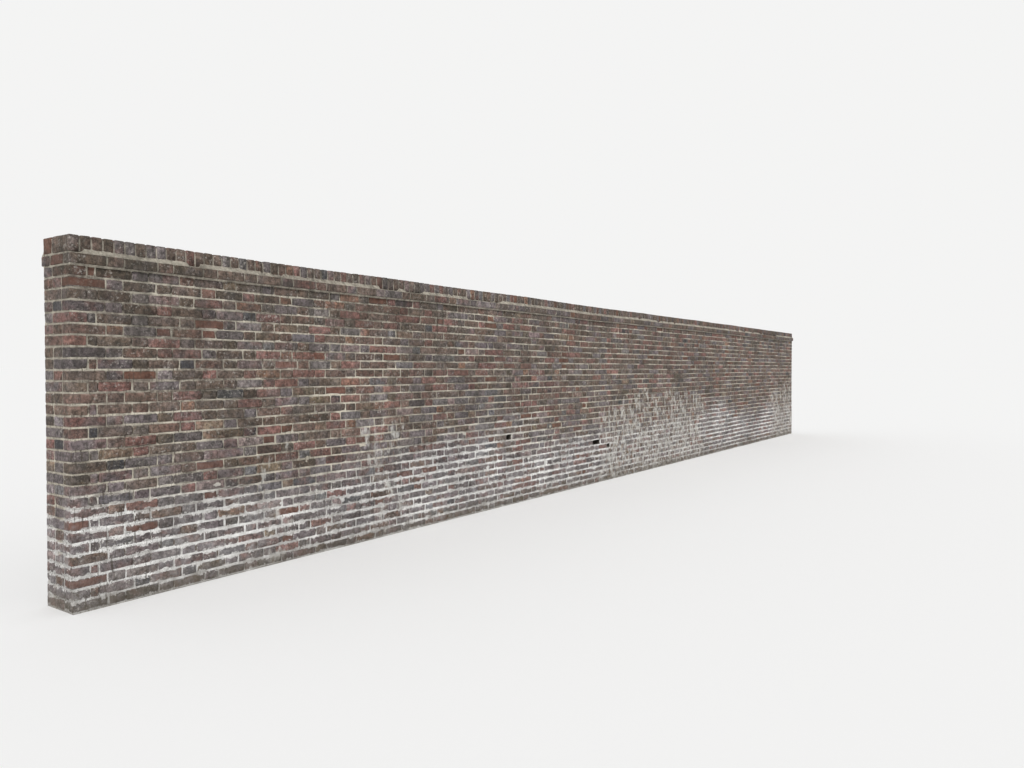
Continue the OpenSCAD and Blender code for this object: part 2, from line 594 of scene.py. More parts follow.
def lay_blocks(shell, low, high, tint, fate, cells, draw, wear=1.0, limed=False):
    """Whole bricks seen from several sides, from (n, 3) arrays of their lowest and highest corners.

    Limed ones are smeared along their beds, and the others are washed clean.
    """
    n = len(low)
    surface, template = block_template(cells)
    low, high = low[:, None], high[:, None]
    size = high - low
    place = stack(*[lines(size[:, 0, axis], cells[axis])[:, surface[:, axis]] for axis in range(3)])
    edge = np.minimum(place, size - place)
    at_end = edge < HAIR
    inward = np.where(place < size / 2, 1, -1) * at_end
    ends = at_end.sum(axis=-1, keepdims=True)
    points = low + place
    x, y, z = np.moveaxis(points, -1, 0) / 0.035
    wave = stack(*[noise(x + fate[:, :1] * 40, y, z, 41 + axis) for axis in range(3)])
    worn = np.where(ends >= 2, 0.32, 0) + np.where(ends >= 3, 0.2, 0)
    points = points + inward * worn * ARRIS * wear + 0.0011 * wave * wear
    # A corner knocked off
    knocked = np.where(draw.random((n, 1, 3)) < 0.5, 0, size)
    reach = draw.uniform(0.02, 0.055, (n, 1))
    chipped = (draw.random((n, 1)) < 0.3) * draw.uniform(0.15, 0.5, (n, 1))
    away = np.linalg.norm(place - knocked, axis=-1)
    pull = chipped * smooth(reach - away, 0, reach)
    points = points + pull[..., None] * (size / 2 - place) * reach[..., None] * 6
    # Hand-laid: each a little out of true
    turn = draw.normal(0, 0.006, (n, 1, 3))
    offset = points - (low + high) / 2
    points = points + np.cross(np.broadcast_to(turn, offset.shape), offset)
    rim = np.ones_like(edge)
    if limed:
        rim[..., 0] = 0
        rim[..., 2] = edge[..., 2]
    shell.add_bricks(settle(points), template, rim, tint, fate)


# Mortar

# Lines of a joint as seen on the face, from its middle; the outer two feather out over the bricks
BED_ROWS = np.array([-0.0125, -0.0045, 0.0045, 0.0125])
PERP_COLUMNS = np.array([-0.0098, -0.0044, 0.0044, 0.0098])
OUTER = np.array([True, False, False, True])
# Heights on an upright joint, from the top of the bed under it
PERP_ROWS = np.array([-0.004, 0.021, 0.044, BRICK_HEIGHT + 0.004])
BED_CELLS = 96
# How far the mortar of the beds stops short of the run's ends, and the core short of that
END_GAP = 0.003
CORE_GAP = 0.012


def straight_joint(bay):
    """Where the beds of one bay's mortar meet those of the next, or just inside the run's ends."""
    if bay in (0, BAYS):
        return LEFT + END_GAP if bay == 0 else RIGHT - END_GAP
    return LEFT + bay * BAY_LENGTH - JOINT / 2


def bed_lines(bay, cells=BED_CELLS):
    """Uneven steps along a bay, from its start to its end."""
    start, end = straight_joint(bay - 1), straight_joint(bay)
    n = np.arange(cells + 1)
    jitter = np.where((n > 0) & (n < cells), 0.3 * lattice(n, bay, 7, 54), 0)
    return start + (end - start) * (n + jitter) / cells


def bed_dirt(x, z, side):
    """How dirty the beds are, from 0 to 1: above the lime they fade in and out along a course."""
    stretches = 1.3 * noise(x / 0.22, side, z / 0.1, 57) + 0.6 * noise(x / 0.07, side, z / 0.1, 65)
    return np.clip(0.3 + stretches, 0, 1) * (1 - 0.45 * lime_zone(x, side * FACE, z))


def mortar_depth(x, z, outer, side):
    """Depth of the mortar behind the face: in the joint itself, or where it feathers over the brick."""
    lime = lime_zone(x, side * FACE, z)
    rough = noise(x / 0.045, side, z / 0.02, 52)
    patch = noise(x / 0.35, side, z / 0.12, 53)
    washed = smooth(patch, 0.25, 0.75) * (1 - 0.75 * lime)
    joint = 0.0036 - 0.0026 * lime + 0.0009 * rough + 0.0085 * washed
    spread = 0.6 * noise(x / 0.42, side, z / 0.06, 55) + 0.4 * noise(x / 0.13, side, z / 0.03, 50)
    feather = 0.0076 - 0.0044 * lime + 0.0008 * rough - 0.0050 * spread * (0.35 + lime) + 0.006 * washed
    return np.where(outer, np.maximum(feather, joint - 0.0016), joint)


def round_holes(x, z, depth):
    """Draws mortar out of the fallen bricks' places, to their edges and back to the core."""
    for x0, x1, z0, z1, _ in HOLES:
        inside = (x > x0) & (x < x1) & (z > z0) & (z < z1)
        sideways = np.minimum(x - x0, x1 - x) < np.minimum(z - z0, z1 - z)
        x = np.where(inside & sideways, np.where(x - x0 < x1 - x, x0, x1), x)
        z = np.where(inside & ~sideways, np.where(z - z0 < z1 - z, z0, z1), z)
        depth = np.where(inside, CORE_DEPTH + 0.002, depth)
    return x, z, depth


def mortar_points(x, z, outer, side, sunk=0):
    depth = mortar_depth(x, z, outer, side) + sunk
    if side == GARDEN:
        x, z, depth = round_holes(x, z, depth)
    return settle(on_face(x, depth, np.maximum(z, 0), side))


def lay_beds(shell, bay, side):
    x = bed_lines(bay)[:, None] + 0 * BED_ROWS
    for bed in range(COURSES):
        middle = bed * GAUGE + JOINT / 2
        z = middle + BED_ROWS + 0.0012 * noise(x / 0.05, BED_ROWS * 90, bed, 56)
        shell.patch(mortar_points(x, z, OUTER, side), flip=side == BACK, dirt=bed_dirt(x, z, side))


def lay_perps(shell, bay, side, draw):
    places = []
    for course in range(COURSES):
        start, end = bay_joint(bay - 1, course), bay_joint(bay, course)
        spans = course_spans(course)
        for left, right in zip(spans[:-1], spans[1:]):
            x = (left[1] + right[0]) / 2
            if start - JOINT <= x < end - JOINT:
                places.append((x, course))
    middle, course = np.array(places).T[:, :, None, None]
    # Both ends of the joint are drawn in and tucked under the beds
    at_bed = np.array([1, 0, 0, 1])
    x = middle + PERP_COLUMNS[:, None] * (1 - 0.15 * at_bed)
    z = course * GAUGE + JOINT + PERP_ROWS + 0 * x
    x = x + perp_shift(middle, course, side) + 0.0012 * noise(x / 0.02, side, z / 0.03, 58)
    # Mortar has fallen out of about half of them
    bare = draw.random(middle.shape) < 0.55
    eroded = 0.0011 + draw.uniform(0.001, 0.006, middle.shape) * bare
    points = mortar_points(x, z, OUTER[:, None], side, 0.0016 * at_bed + eroded * (1 - at_bed))
    own = draw.uniform(0.1, 0.6, middle.shape) + 0.9 * bare
    dirt = own + (bed_dirt(x, z, side) - own) * at_bed
    template = [grid_quads(np.arange(x[0].size).reshape(x[0].shape))]
    shell.add_many(points.reshape(len(places), -1, 3), template, flip=side == BACK, dirt=dirt)


def lay_dab(shell, x, z, wide, high, side, seed):
    """A thin ragged patch of lime left on the face."""
    across, up = np.meshgrid(np.linspace(-1, 1, 15), np.linspace(-1, 1, 13), indexing="ij")
    turn = np.arctan2(up, across)
    round_x, round_z = np.cos(turn), np.sin(turn)
    reach = 1 + 0.38 * noise(1.3 * round_x, 1.3 * round_z, seed * 7, 91)
    reach = reach + 0.22 * noise(4.5 * round_x, 4.5 * round_z, seed * 7, 93)
    off = np.maximum(np.abs(across), np.abs(up))
    px = x + round_x * off * wide / 2 * reach
    pz = z + round_z * off * high / 2 * reach
    depth = -0.0012 + 0.007 * off ** 5 + 0.0009 * noise(px / 0.016, seed, pz / 0.016, 92)
    points = settle(on_face(px, depth, pz, side))
    shell.patch(points, flip=side == BACK, dirt=0.3 + 0.2 * noise(px / 0.02, seed, pz / 0.02, 94))


def lay_dabs(shell, bay, side, draw):
    """Lumps of lime: those of the photograph, and a few more placed at random, clear of the holes."""
    start, end = straight_joint(bay - 1), straight_joint(bay)
    if side == GARDEN:
        for pixel, wide, high in DABS:
            x, z = wall_place(*pixel)
            if start < x < end:
                lay_dab(shell, x, z, wide, high, side, x)
    for _ in range(6):
        x = draw.uniform(start + 0.1, end - 0.1)
        z = draw.uniform(0.08, 0.95)
        if not near_hole(x, z, 0.15, 0.1):
            lay_dab(shell, x, z, draw.uniform(0.04, 0.11), draw.uniform(0.03, 0.06), side, x)


def lay_end_sheet(shell, end, low, high, half_width, steps):
    """The mortar that shows between the bricks on an end of the wall."""
    y = np.linspace(-half_width, half_width, 19)[:, None] + np.zeros(steps + 1)
    z = np.linspace(low, high, steps + 1) + 0 * y
    depth = 0.0055 + 0.0018 * noise(end * 9, y / 0.03, z / 0.03, 59)
    x = (LEFT + depth) if end < 0 else (RIGHT - depth)
    shell.patch(settle(stack(x, y, z)), flip=end < 0, dirt=0.45 + 0 * x)


def cuts(low, high, spans, step):
    """Cell edges from low to high, split finely within the given spans."""
    edges = {low, high}
    for a, b in spans:
        edges.update(np.linspace(a, b, max(2, round((b - a) / step)) + 1))
    return np.array(sorted(edges))


def in_socket(place, hole, slack=0.0):
    """Whether places, as x, y and z, are within a fallen brick's socket, or that near to it."""
    x, y, z = place
    x0, x1, z0, z1, depth = hole
    along = (x > x0 - slack) & (x < x1 + slack)
    return along & (z > z0 - slack) & (z < z1 + slack) & (y < -FACE + depth + slack)


def core_quads(solid, index):
    """The quads between solid cells and open ones; solid has a rim of cells more than index counts."""
    quads = []
    for axis in range(3):
        cells = np.moveaxis(solid, axis, 0)[:, 1:-1, 1:-1]
        grid = np.moveaxis(index, axis, 0)
        around = stack(grid[:, :-1, :-1], grid[:, 1:, :-1], grid[:, 1:, 1:], grid[:, :-1, 1:])
        ahead, behind = cells[:-1] & ~cells[1:], ~cells[:-1] & cells[1:]
        forward, backward = around[ahead], around[behind][:, ::-1]
        if axis == 1:
            forward, backward = forward[:, ::-1], backward[:, ::-1]
        quads += [forward, backward]
    return np.concatenate(quads)


def lay_core(shell, bay):
    """The heart of the wall behind its faces, with the rough sockets of the fallen bricks."""
    left = straight_joint(bay - 1) + CORE_GAP * (bay == 1)
    right = straight_joint(bay) - CORE_GAP * (bay == BAYS)
    front = -FACE + CORE_DEPTH
    holes = [hole for hole in HOLES if left < hole[0] < right]
    edges = [
        cuts(left, right, [(x0, x1) for x0, x1, _, _, _ in holes], 0.022),
        cuts(front, -front, [(front, -FACE + depth) for _, _, _, _, depth in holes], 0.022),
        cuts(0, WALL_TOP + 0.01, [(z0, z1) for _, _, z0, z1, _ in holes], 0.016),
    ]
    middle = np.meshgrid(*[(edge[1:] + edge[:-1]) / 2 for edge in edges], indexing="ij")
    corner = np.meshgrid(*edges, indexing="ij")
    solid = np.ones(middle[0].shape, bool)
    lining = np.zeros(corner[0].shape, bool)
    for hole in holes:
        solid &= ~in_socket(middle, hole)
        lining |= in_socket(corner, hole, HAIR)
    # The core is open towards the neighbouring bays
    solid = np.pad(solid, 1)
    if bay > 1:
        solid[0] = solid[1]
    if bay < BAYS:
        solid[-1] = solid[-2]
    x, y, z = corner
    rough = [0.0028 * noise(x / 0.03, y / 0.03, z / 0.03, 61 + axis) * lining for axis in range(3)]
    points = settle(stack(*corner) + stack(*rough)).reshape(-1, 3)
    quads = core_quads(solid, np.arange(lining.size).reshape(lining.shape))
    used, quads = np.unique(quads, return_inverse=True)
    # The core is darkened, partly as dirt and partly as painted shade inside the wall; the sockets'
    # lining, past 1, is painted shade
    dirt = np.where(lining.ravel()[used], 2.4, 0.8)
    shell.add(points[used], [quads.reshape(-1, 4)], dirt=dirt)


def lay_strip(shell, bay, profile, rough, seed, dirt, cells=BED_CELLS, shape=None, heel=None):
    """Mortar run along both sides from a profile of (distance from the middle, height), listed upwards.

    A heel is the place within the wall that closes the profile where it shows at the ends of the run.
    """
    out, z = np.array(profile).T[:, None] + np.zeros((2, cells + 1, 1))
    x = bed_lines(bay, cells)[:, None] + 0 * out
    for side in (GARDEN, BACK):
        far, high = (out, z) if shape is None else shape(x, out, z, side)
        bump = rough * noise(x / 0.05, side * 3 + far / 0.03, high / 0.03, seed)
        points = stack(x, side * (far + bump), high + 0.5 * bump)
        stained = dirt + 0.15 * noise(x / 0.2, side, high / 0.1, seed + 1)
        shell.patch(settle(points), flip=side == BACK, dirt=stained)
        if heel and bay in ENDS:
            edge = points[0 if bay == 1 else -1]
            ring = np.concatenate([edge, [[edge[0, 0], side * heel[0], heel[1]]]])
            face = np.arange(len(ring))[None]
            outward = (side == GARDEN) == (bay == 1)
            shell.add(settle(ring), [face[:, ::-1] if outward else face], dirt=np.full(len(ring), 0.4))


def worn_fillet(x, out, z, side):
    """The mortar fillet sags, cracks, and is broken away in places down to the ledge."""
    gone = smooth(noise(x / 0.14, side * 7, 0, 71) + 0.5 * noise(x / 0.9, side * 7, 3, 72), 0.55, 0.72)
    crack = smooth(noise(x / 0.05, side * 5, 1, 73), 0.75, 0.95) * 0.4
    keep = 1 - 0.75 * np.maximum(gone, crack)
    root, ledge = FACE - 0.004, OVERSAIL_TOP - 0.002
    return root + (out - root) * keep, ledge + (z - ledge) * keep


# The top

COPING_ROWS = 38
# Where three bricks lie across an end, the middle one looks like the brick so far along the bond's table
LOOKS_FROM = 7


def outline(out, up, *steps):
    """Part of a profile across the wall, as steps in millimetres outwards and upwards from one place."""
    return [(out + sideways / 1000, up + upwards / 1000) for sideways, upwards in steps]


# Profiles of the mortar at the top: distance from the wall's middle, and height
SQUEEZED_BED = outline(FACE, WALL_TOP, (-12, -6), (-1, -3), (3, 4), (7, 10), (10, 14))
SQUEEZED_HEEL = (FACE - 0.012, WALL_TOP + 0.014)
OVERSAIL_BODY = [
    (FACE, WALL_TOP + 0.0145),
    *outline(OVERSAIL_FACE, WALL_TOP, (-9, 15), (-6, 30), (-6, 55)),
    (OVERSAIL_FACE - 0.01, OVERSAIL_TOP - 0.003),
    (FACE - 0.02, OVERSAIL_TOP - 0.002),
]
FILLET = [
    *outline(FILLET_TOE, OVERSAIL_TOP, (-0.5, -3), (-1, 3)),
    *outline(FACE, OVERSAIL_TOP, (16.5, 11), (8, 21), (1.5, 31)),
    (FACE - 0.004, FILLET_HEAD - 0.001),
]
FILLET_HEEL = (FACE - 0.004, OVERSAIL_TOP - 0.003)
COPING_BODY = [
    *outline(FACE, OVERSAIL_TOP, (-8, -2), (-6, 20)),
    *outline(FACE, TOP, (-6, -50), (-8, -20), (-20, -9), (-70, -6.5)),
    (0, TOP - 0.007),
]


def oversail_blocks(bay, side):
    """Lowest and highest corners of the projecting bricks on one side of a bay."""
    low, high = [], []
    for x0, x1 in course_spans(COURSES):
        if bay_joint(bay - 1, COURSES) - JOINT <= x0 < bay_joint(bay, COURSES) - JOINT:
            y = sorted((side * OVERSAIL_FACE, side * (OVERSAIL_FACE - BRICK_WIDTH)))
            low.append((x0, y[0], WALL_TOP + JOINT))
            high.append((x1, y[1], OVERSAIL_TOP))
    return np.array(low), np.array(high)


def coping_blocks(bay, long_rows):
    """The long or the half bricks of a bay's coping, which change sides from row to row."""
    pitch = (RIGHT - LEFT + BAY_LENGTH / COPING_ROWS - BRICK_HEIGHT) / (COPING_ROWS * BAYS)
    rows = np.arange(COPING_ROWS * (bay - 1), COPING_ROWS * bay)
    length = BRICK_LENGTH if long_rows else BRICK_WIDTH
    garden = (rows % 2 == 0) == long_rows
    x0 = LEFT + pitch * rows
    y0 = np.where(garden, -FACE, FACE - length)
    z0 = np.full(len(rows), OVERSAIL_TOP + JOINT)
    low = stack(x0, y0, z0)
    return low, low + [BRICK_HEIGHT, length, TOP - OVERSAIL_TOP - JOINT]


def corner_blocks(bricks, end):
    """The bricks that turn a corner at one end of the wall, and the brick each takes its looks from."""
    low, high, like = [], [], []
    for n in np.flatnonzero(bricks["end"] == end):
        x0, x1, z0, z1 = [bricks[edge][n] for edge in ("x0", "x1", "z0", "z1")]
        side, course = bricks["side"][n], bricks["course"][n]
        three_across = (course % 2 == 0) == (end < 0)
        # The long brick changes sides, so that no joint runs straight up the end
        long_side = GARDEN if course % 4 < 2 else BACK
        depth = BRICK_LENGTH if side == long_side and not three_across else BRICK_WIDTH
        y = sorted((side * FACE, side * (FACE - depth)))
        low.append((x0, y[0], z0))
        high.append((x1, y[1], z1))
        like.append(n)
        if three_across and side == GARDEN:
            inner = FACE - BRICK_WIDTH - JOINT
            near, far = (x0, x0 + BRICK_WIDTH) if end < 0 else (x1 - BRICK_WIDTH, x1)
            low.append((near, -inner, z0))
            high.append((far, inner, z1))
            like.append(n + LOOKS_FROM)
    return np.array(low), np.array(high), np.array(like)


# Materials

class Paint:
    """A material being mixed: each method adds a node and returns its output."""

    def __init__(self, name):
        self.material = bpy.data.materials.new(name)
        self.material.use_nodes = True
        self.tree = self.material.node_tree
        self.shader = self.tree.nodes["Principled BSDF"]
        self.place = self.node("ShaderNodeTexCoord", out="Object")

    def node(self, kind, inputs=(), out=0, **settings):
        node = self.tree.nodes.new(kind)
        for key, value in settings.items():
            setattr(node, key, value)
        for key, value in dict(inputs).items():
            self.connect(value, node.inputs[key])
        return node.outputs[out]

    def connect(self, value, socket):
        if isinstance(value, bpy.types.NodeSocket):
            self.tree.links.new(value, socket)
        else:
            socket.default_value = value

    def math(self, operation, *values):
        return self.node("ShaderNodeMath", dict(enumerate(values)), operation=operation)

    def times(self, first, *factors):
        for factor in factors:
            first = self.math("MULTIPLY", first, factor)
        return first

    def plus_times(self, value, factor, added):
        return self.math("MULTIPLY_ADD", value, factor, added)

    def vector(self, operation, *values):
        return self.node("ShaderNodeVectorMath", dict(enumerate(values)), operation=operation)

    def known(self, name, out="Fac"):
        return self.node("ShaderNodeAttribute", out=out, attribute_name=name)

    def parts(self, vector):
        return [self.node("ShaderNodeSeparateXYZ", {0: vector}, out=axis) for axis in "XYZ"]

    def cloud(self, scale, detail=3.0, roughness=0.55, where=None):
        """Noise from about 0 to 1, with scale features to a metre or so many along X, Y and Z."""
        where = where or self.place
        if isinstance(scale, tuple):
            where, scale = self.vector("MULTIPLY", where, scale), 1.0
        inputs = {"Vector": where, "Scale": scale, "Detail": detail, "Roughness": roughness}
        return self.node("ShaderNodeTexNoise", inputs)

    def rise(self, value, low, high, start=0.0, end=1.0):
        """Climbs smoothly from start to end as value goes from low to high; a tuple sets up a cloud."""
        value = self.cloud(*value) if isinstance(value, tuple) else value
        inputs = {0: value, 1: low, 2: high, 3: start, 4: end}
        return self.node("ShaderNodeMapRange", inputs, interpolation_type="SMOOTHSTEP")

    def blend(self, factor, first, second):
        first, second = [(*c, 1) if isinstance(c, list) else c for c in (first, second)]
        return self.node("ShaderNodeMix", {0: factor, 6: first, 7: second}, out=2, data_type="RGBA")

    def scaled(self, colour, value):
        """A colour made lighter or darker by a number."""
        alike = self.node("ShaderNodeCombineXYZ", {0: value, 1: value, 2: value})
        return self.vector("MULTIPLY", colour, alike)

    def shade(self, colour, *settings):
        return self.scaled(colour, self.rise(*settings))

    def finish(self, colour, roughness, height, strength, distance):
        inputs = {"Strength": strength, "Distance": distance, "Height": height}
        bumped = self.node("ShaderNodeBump", inputs)
        self.connect(colour, self.shader.inputs["Base Color"])
        self.connect(roughness, self.shader.inputs["Roughness"])
        self.connect(bumped, self.shader.inputs["Normal"])
        self.shader.inputs["Specular IOR Level"].default_value = 0.25
        return self.material


LIME_WHITE = linear(238, 237, 234)
LIME_CREAM = linear(206, 199, 183)
LIME_STAIN = linear(108, 98, 90)
SPATTER = linear(190, 184, 176)
SAND = linear(120, 104, 84)
SOIL = linear(92, 84, 70)
GRIME = linear(60, 58, 50)
FIRED_GREY = linear(95, 89, 88)
FIRED_RED = linear(113, 83, 75)
RAW_CLAY = linear(148, 100, 82)
DARK_FLECK = linear(50, 44, 42)
PALE_GRIT = linear(196, 182, 170)
BLOOM = linear(168, 166, 167)
STEM = linear(74, 66, 58)
PALE = linear(206, 204, 198)
LITTER = linear(120, 99, 80)
ROOTLET = linear(62, 54, 47)
# Painted shade for the lining of the fallen bricks' sockets
HOLE_SHADE = linear(84, 78, 72)


def lime_low(paint):
    """The lime zone that the mesh carries, with a more ragged border."""
    ragged = paint.plus_times(paint.cloud(3.0, 5.0, 0.6), 0.7, paint.known("lime"))
    return paint.rise(ragged, 0.5, 1.2)


def lime_paint(paint, low, dirt):
    """The colour of the mortar, and of the lime smeared from it over the bricks."""
    colour = paint.blend(low, LIME_CREAM, LIME_WHITE)
    colour = paint.shade(colour, (20, 6.0, 0.7), 0.32, 0.68, 0.80, 1.16)
    colour = paint.shade(colour, (420, 3.0, 0.7), 0.25, 0.75, 0.88, 1.12)
    sand = paint.rise((700, 2.0), 0.58, 0.68)
    colour = paint.blend(paint.times(sand, 0.3), colour, SAND)
    # The stain follows the dirt value; where that is high, inside the wall, it is painted shade as well
    # as dirt
    stain_and_shade = paint.times(paint.rise((24, 5.0, 0.65), 0.34, 0.62), dirt)
    stain_and_shade = paint.plus_times(stain_and_shade, 0.55, paint.times(dirt, 0.38))
    return paint.blend(stain_and_shade, colour, LIME_STAIN)


def flecked(paint, colour, zone, scale, low, high, amount, fleck):
    """Flecks of another colour that thin out at a zone's edges."""
    mask = paint.plus_times(zone, 0.4, paint.cloud(scale, 5.0, 0.66))
    mask = paint.rise(mask, low + 0.4, high + 0.4, 0.0, amount)
    return paint.blend(mask, colour, fleck)


def stem_marks(paint):
    """Narrow upright marks and specks where creepers once clung, dense in some stretches of the wall."""
    stems = paint.rise(((62.0, 62.0, 5.5), 3.0, 0.6), 0.56, 0.68)
    specks = paint.rise(((130.0, 130.0, 75.0), 3.0, 0.6), 0.57, 0.66)
    where = paint.rise(((1.1, 1.1, 0.5), 2.0, 0.5), 0.38, 0.62, 0.15, 1.0)
    return paint.times(paint.math("MAXIMUM", stems, specks), where)


def edge_distance(paint):
    """Distance from the nearest arris of a brick: the middle one of its distances along three axes."""
    along, across, up = paint.parts(paint.known("rim", "Vector"))
    # Lime keeps to a fifth of the width beside an upright joint
    along = paint.times(along, 5.0)
    lesser = paint.math("MINIMUM", along, across)
    greater = paint.math("MAXIMUM", along, across)
    return paint.math("MAXIMUM", lesser, paint.math("MINIMUM", greater, up))


def fired_clay(paint, seed, mottle, grain, own):
    """The brick's own colour, fired grey or red in part, with smuts, flecks and grit."""
    fired = paint.rise((8.5, 3.0, 0.5, own), 0.42, 0.66)
    other = paint.blend(paint.math("GREATER_THAN", seed, 0.55), FIRED_GREY, FIRED_RED)
    colour = paint.blend(paint.times(fired, 0.55), paint.known("tint", "Color"), other)
    colour = paint.shade(colour, mottle, 0.25, 0.75, 0.5, 1.5)
    colour = paint.shade(colour, grain, 0.25, 0.75, 0.74, 1.26)
    colour = paint.shade(colour, (44, 4.0, 0.7, own), 0.4, 0.64, 1.32, 0.54)
    flecks = paint.rise((300, 2.0, 0.55, own), 0.61, 0.69)
    colour = paint.blend(paint.times(flecks, 0.5), colour, DARK_FLECK)
    elsewhere = paint.vector("ADD", own, (9.0, 4.0, 2.0))
    grit = paint.rise((260, 2.0, 0.55, elsewhere), 0.63, 0.7)
    return paint.blend(paint.times(grit, 0.28), colour, PALE_GRIT)


def salt_haze(paint, low, limed, own):
    """How strongly salts and limewash haze the face, most of all low down."""
    haze = paint.rise((15, 5.0, 0.68, own), 0.36, 0.74, 0.05, 0.6)
    lower = paint.plus_times(low, 0.8, 0.1)
    chalkier = paint.plus_times(limed, 0.8, 0.45)
    return paint.times(haze, lower, chalkier, paint.rise((2.4, 4.0), 0.42, 0.64, 0.45, 1.4))


def smeared_lime(paint, low, edge):
    """Where lime was smeared over the edges when the joints were filled, with dabs of it further in."""
    reach = paint.plus_times(low, 0.0066, 0.0027)
    spread = paint.plus_times(paint.cloud(80, 6.0, 0.68), 0.5, paint.cloud(14, 4.0, 0.6))
    spread = paint.times(reach, paint.rise(spread, 0.60, 0.94, -0.8, 2.3))
    smear = paint.rise(paint.math("SUBTRACT", spread, edge), -0.002, 0.0025)
    smear = paint.times(smear, paint.plus_times(low, 0.4, 0.45))
    dab = paint.rise((30, 6.0, 0.68), 0.645, 0.70)
    return paint.math("MAXIMUM", smear, paint.times(dab, paint.times(low, 0.6)))


def brick_material(name, weathered):
    paint = Paint(name)
    _, _, height = paint.parts(paint.place)
    fate = paint.known("fate", "Vector")
    seed, blown, limed = paint.parts(fate)
    own = paint.vector("MULTIPLY_ADD", fate, (37.0, 53.0, 71.0), paint.place)
    edge = edge_distance(paint)
    low = lime_low(paint)
    mottle = paint.cloud(18, 5.0, 0.62, own)
    grain = paint.cloud(190, 5.0, 0.72, own)
    colour = fired_clay(paint, seed, mottle, grain, own)
    # Lime spattered over the face, thickly in some places
    spatter = paint.rise((50, 5.0, 0.72), 0.53, 0.66)
    thick = paint.rise((4.5, 4.0, 0.6), 0.42, 0.62, 0.15, 0.75)
    colour = paint.blend(paint.times(spatter, thick), colour, SPATTER)
    # Raw clay where frost has blown the face off
    raw = paint.times(paint.math("GREATER_THAN", blown, BLOWN), paint.rise(edge, 0.004, 0.011), 0.7)
    colour = paint.blend(raw, colour, paint.scaled(RAW_CLAY, mottle))
    colour = paint.blend(salt_haze(paint, low, limed, own), colour, BLOOM)
    colour = paint.blend(smeared_lime(paint, low, edge), colour, lime_paint(paint, low, 0.35))
    colour = weather(paint, colour, height, low, weathered)
    pits = paint.rise((95, 2.0, 0.55, own), 0.28, 0.42)
    folds = paint.cloud((24.0, 24.0, 95.0), 3.0, 0.6, own)
    relief = paint.plus_times(pits, 0.55, paint.plus_times(folds, 0.8, grain))
    return paint.finish(colour, paint.rise(mottle, 0.2, 0.8, 0.82, 0.95), relief, 0.75, 0.0022)


def weather(paint, colour, height, low, weathered):
    """Soil splashed up the foot, creeper marks, and grime that the rain draws down from the top."""
    colour = paint.shade(colour, (0.9, 4.0, 0.6), 0.3, 0.7, 0.86, 1.08)
    zone = paint.known("bleached")
    colour = flecked(paint, colour, zone, (13.0, 13.0, 7.0), 0.43, 0.62, 0.82, PALE)
    colour = flecked(paint, colour, zone, (30.0, 30.0, 12.0), 0.50, 0.62, 0.7, LITTER)
    colour = flecked(paint, colour, zone, (46.0, 46.0, 18.0), 0.53, 0.63, 0.8, ROOTLET)
    colour = paint.blend(paint.times(stem_marks(paint), 0.78), colour, STEM)
    soil = paint.rise(paint.plus_times(paint.cloud(11), -0.3, height), -0.2, 0.05, 0.62, 0.0)
    colour = paint.blend(soil, colour, SOIL)
    streak = paint.rise(((19.0, 19.0, 1.1), 4.0, 0.6), 0.42, 0.68)
    grime = paint.times(streak, paint.rise(height, 1.25, 2.45, 0.1, 0.85))
    patchy = paint.times(paint.rise((5.5, 5.0, 0.65), 0.46, 0.72), weathered)
    grime = paint.math("MAXIMUM", grime, paint.times(patchy, paint.math("SUBTRACT", 1.0, low)))
    return paint.blend(paint.times(grime, 0.6), colour, GRIME)


def mortar_material(name):
    paint = Paint(name)
    _, _, height = paint.parts(paint.place)
    low = lime_low(paint)
    dirt = paint.known("dirt")
    # Above 1 the value is painted shade, which turns the lining of the fallen bricks' sockets dark
    colour = paint.blend(paint.rise(dirt, 1.2, 2.2), lime_paint(paint, low, dirt), HOLE_SHADE)
    colour = weather(paint, colour, height, low, 0.5)
    lumps = paint.cloud(60, 6.0, 0.72)
    holes = paint.rise((130, 2.0), 0.3, 0.4)
    relief = paint.plus_times(lumps, 1.6, paint.cloud(420, 3.0, 0.7))
    return paint.finish(colour, 0.95, paint.plus_times(holes, 0.5, relief), 0.9, 0.0035)


# Building the wall

def build_bay(bay, bricks, brickwork, mortar, draw):
    for side, word in ((GARDEN, "garden"), (BACK, "back")):
        shell = Shell()
        plain = (bricks["bay"] == bay) & (bricks["side"] == side) & (bricks["end"] == 0)
        stretchers = bricks["wide"] > 1.2 * BRICK_WIDTH
        blown = bricks["fate"][:, 1] > BLOWN
        for mask, across, up in (
            (plain & ~blown & stretchers, 6 if side == GARDEN else 4, 4),
            (plain & ~blown & ~stretchers, 4, 4),
            (plain & blown & stretchers, 22, 8),
            (plain & blown & ~stretchers, 12, 8),
        ):
            these = {name: values[mask] for name, values in bricks.items()}
            lay_faces(shell, these, side, across, up, draw)
        if bay in ENDS and side == GARDEN:
            low, high, like = corner_blocks(bricks, ENDS[bay])
            looks = bricks["tint"][like], bricks["fate"][like]
            lay_blocks(shell, low, high, *looks, (4, 4, 4), draw, limed=True)
        shell.make(f"bay_{bay}_{word}_bricks", brickwork, [f"wall_bay_{bay}"])
    shell = Shell()
    for side in (GARDEN, BACK):
        lay_beds(shell, bay, side)
        lay_perps(shell, bay, side, draw)
        lay_dabs(shell, bay, side, draw)
    lay_core(shell, bay)
    if bay in ENDS:
        lay_end_sheet(shell, ENDS[bay], 0, WALL_TOP + 0.013, FACE - 0.004, 120)
    shell.make(f"bay_{bay}_joints", mortar, [f"wall_bay_{bay}"])


